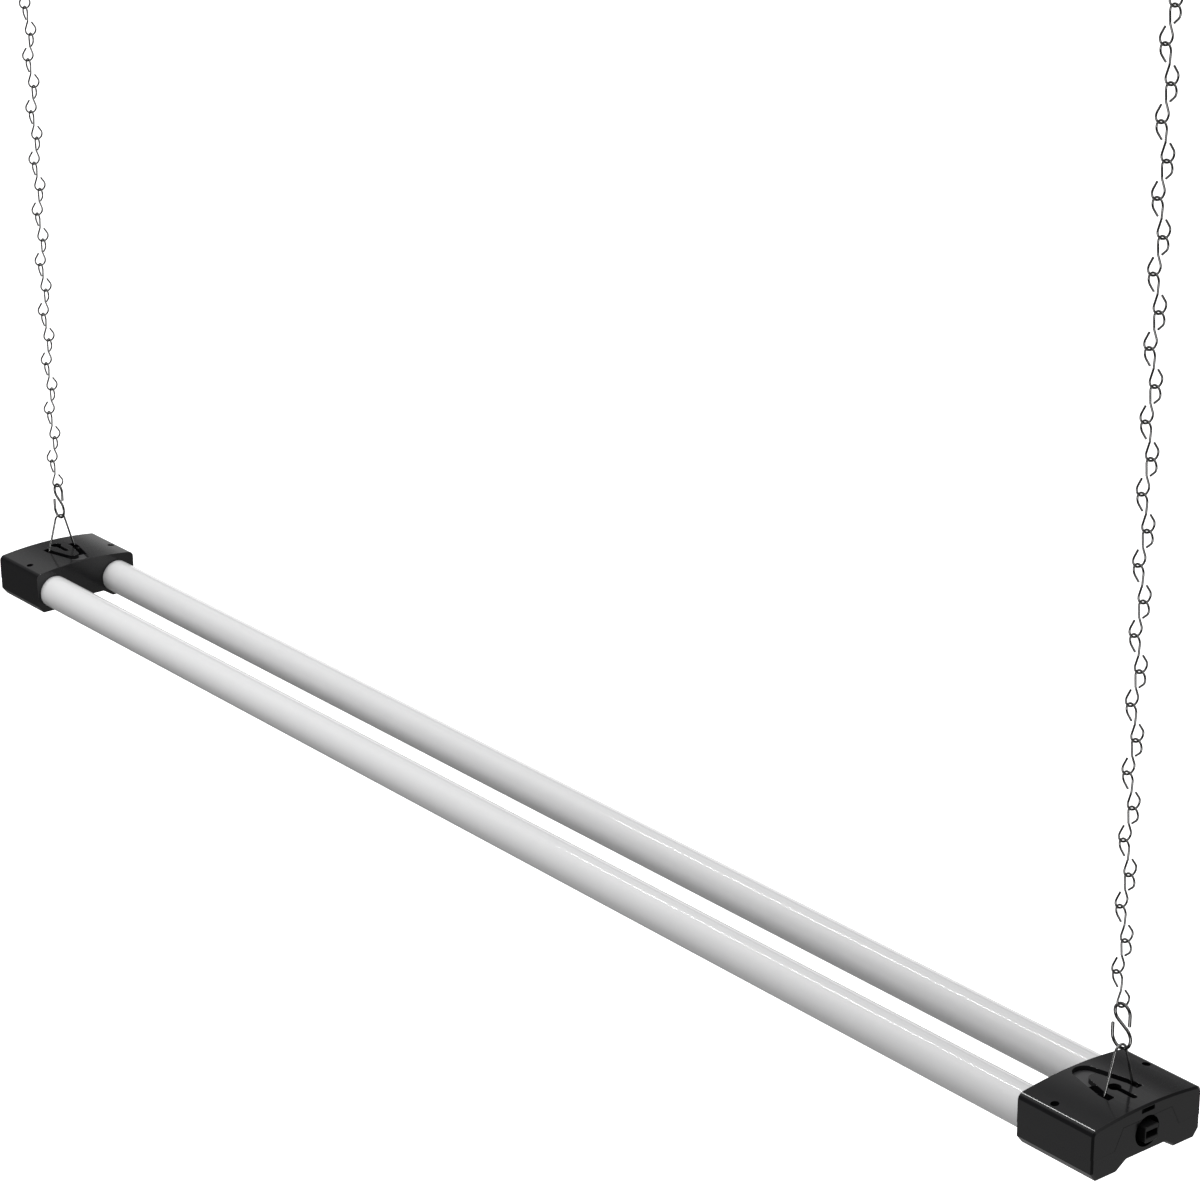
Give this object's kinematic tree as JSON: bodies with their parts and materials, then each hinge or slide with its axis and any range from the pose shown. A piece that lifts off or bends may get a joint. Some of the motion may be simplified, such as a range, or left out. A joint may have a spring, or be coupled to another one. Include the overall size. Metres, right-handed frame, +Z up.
{
  "type": "hanging shop light",
  "caption": "Suspended work light: opal tubes side by side between black end caps with folding wire bails, hung on jack chains, S-hooks and screw-in ceiling hooks.",
  "frame": {"origin": "on the ceiling plane, midway between the two ceiling hooks", "axes": "+Z up, +X along the tubes towards the outlet cap, +Y across the tubes"},
  "size_m": [1.207, 0.088, 0.7531],
  "materials": {
    "black_plastic": "satin moulded ABS",
    "socket_plastic": "satin moulded nylon",
    "opal_plastic": "glossy opal diffuser",
    "white_plastic": "moulded",
    "circuit_board": "white solder mask",
    "driver_board": "green solder mask",
    "led": "phosphor",
    "aluminium": "extruded",
    "brass": "plain",
    "black_screw": "black oxide",
    "dark_component": "component",
    "lead": "insulated lead",
    "zinc_chain": "bright zinc plated",
    "zinc_wire": "bright zinc plated"
  },
  "bodies": {
    "ceiling_hooks": {"near_ceiling_hook": "zinc_wire", "far_ceiling_hook": "zinc_wire"},
    "upper_hooks": {"near_upper_s_hook": "zinc_wire", "far_upper_s_hook": "zinc_wire"},
    "near_hanger": {"near_chain": "zinc_chain", "near_lower_s_hook": "zinc_wire", "near_bail": "zinc_wire"},
    "far_hanger": {"far_chain": "zinc_chain", "far_lower_s_hook": "zinc_wire"},
    "fixture": {"near_top_cover": "black_plastic", "near_bottom_cover": "black_plastic", "near_cover_screws": "black_screw", "far_top_cover": "black_plastic", "far_bottom_cover": "black_plastic", "far_cover_screws": "black_screw", "outlet_socket": "socket_plastic", "outlet_contacts": "brass", "inlet_socket": "socket_plastic", "inlet_pins": "brass", "front_tube": "opal_plastic", "front_tube_plugs": "white_plastic", "front_led_board": "circuit_board", "front_heat_sink": "aluminium", "front_leds": "led", "rear_tube": "opal_plastic", "rear_tube_plugs": "white_plastic", "rear_led_board": "circuit_board", "rear_heat_sink": "aluminium", "rear_leds": "led", "driver_board": "driver_board", "driver_transformer": "dark_component", "driver_input_capacitor": "dark_component", "driver_output_capacitor": "dark_component", "driver_leads": "lead", "link_leads": "lead"},
    "far_bail": {"far_bail": "zinc_wire"}
  },
  "joints": [
    {"name": "side_swing", "type": "hinge", "parent": "ceiling_hooks", "child": "upper_hooks", "pos_m": [0, 0, -0.024], "axis": [1, 0, 0], "range_deg": [-20, 20]},
    {"name": "length_swing", "type": "hinge", "parent": "upper_hooks", "child": "near_hanger", "pos_m": [0.577, 0, -0.0486], "axis": [0, 1, 0], "range_deg": [-18, 18]},
    {"name": "near_bail_pivot", "type": "hinge", "parent": "near_hanger", "child": "fixture", "pos_m": [0.577, 0, -0.7057], "axis": [0, 1, 0], "range_deg": [-18, 18]},
    {"name": "far_chain_swing", "type": "hinge", "parent": "upper_hooks", "child": "far_hanger", "pos_m": [-0.577, 0, -0.0486], "axis": [0, 1, 0], "range_deg": [-18, 18]},
    {"name": "far_bail_pivot", "type": "hinge", "parent": "fixture", "child": "far_bail", "pos_m": [-0.577, 0, -0.7057], "axis": [0, 1, 0], "range_deg": [-18, 18]}
  ],
  "couplings": [
    {"joint": "near_bail_pivot", "follows": "length_swing", "ratio": -1},
    {"joint": "far_chain_swing", "follows": "length_swing", "ratio": 1},
    {"joint": "far_bail_pivot", "follows": "length_swing", "ratio": 1}
  ]
}
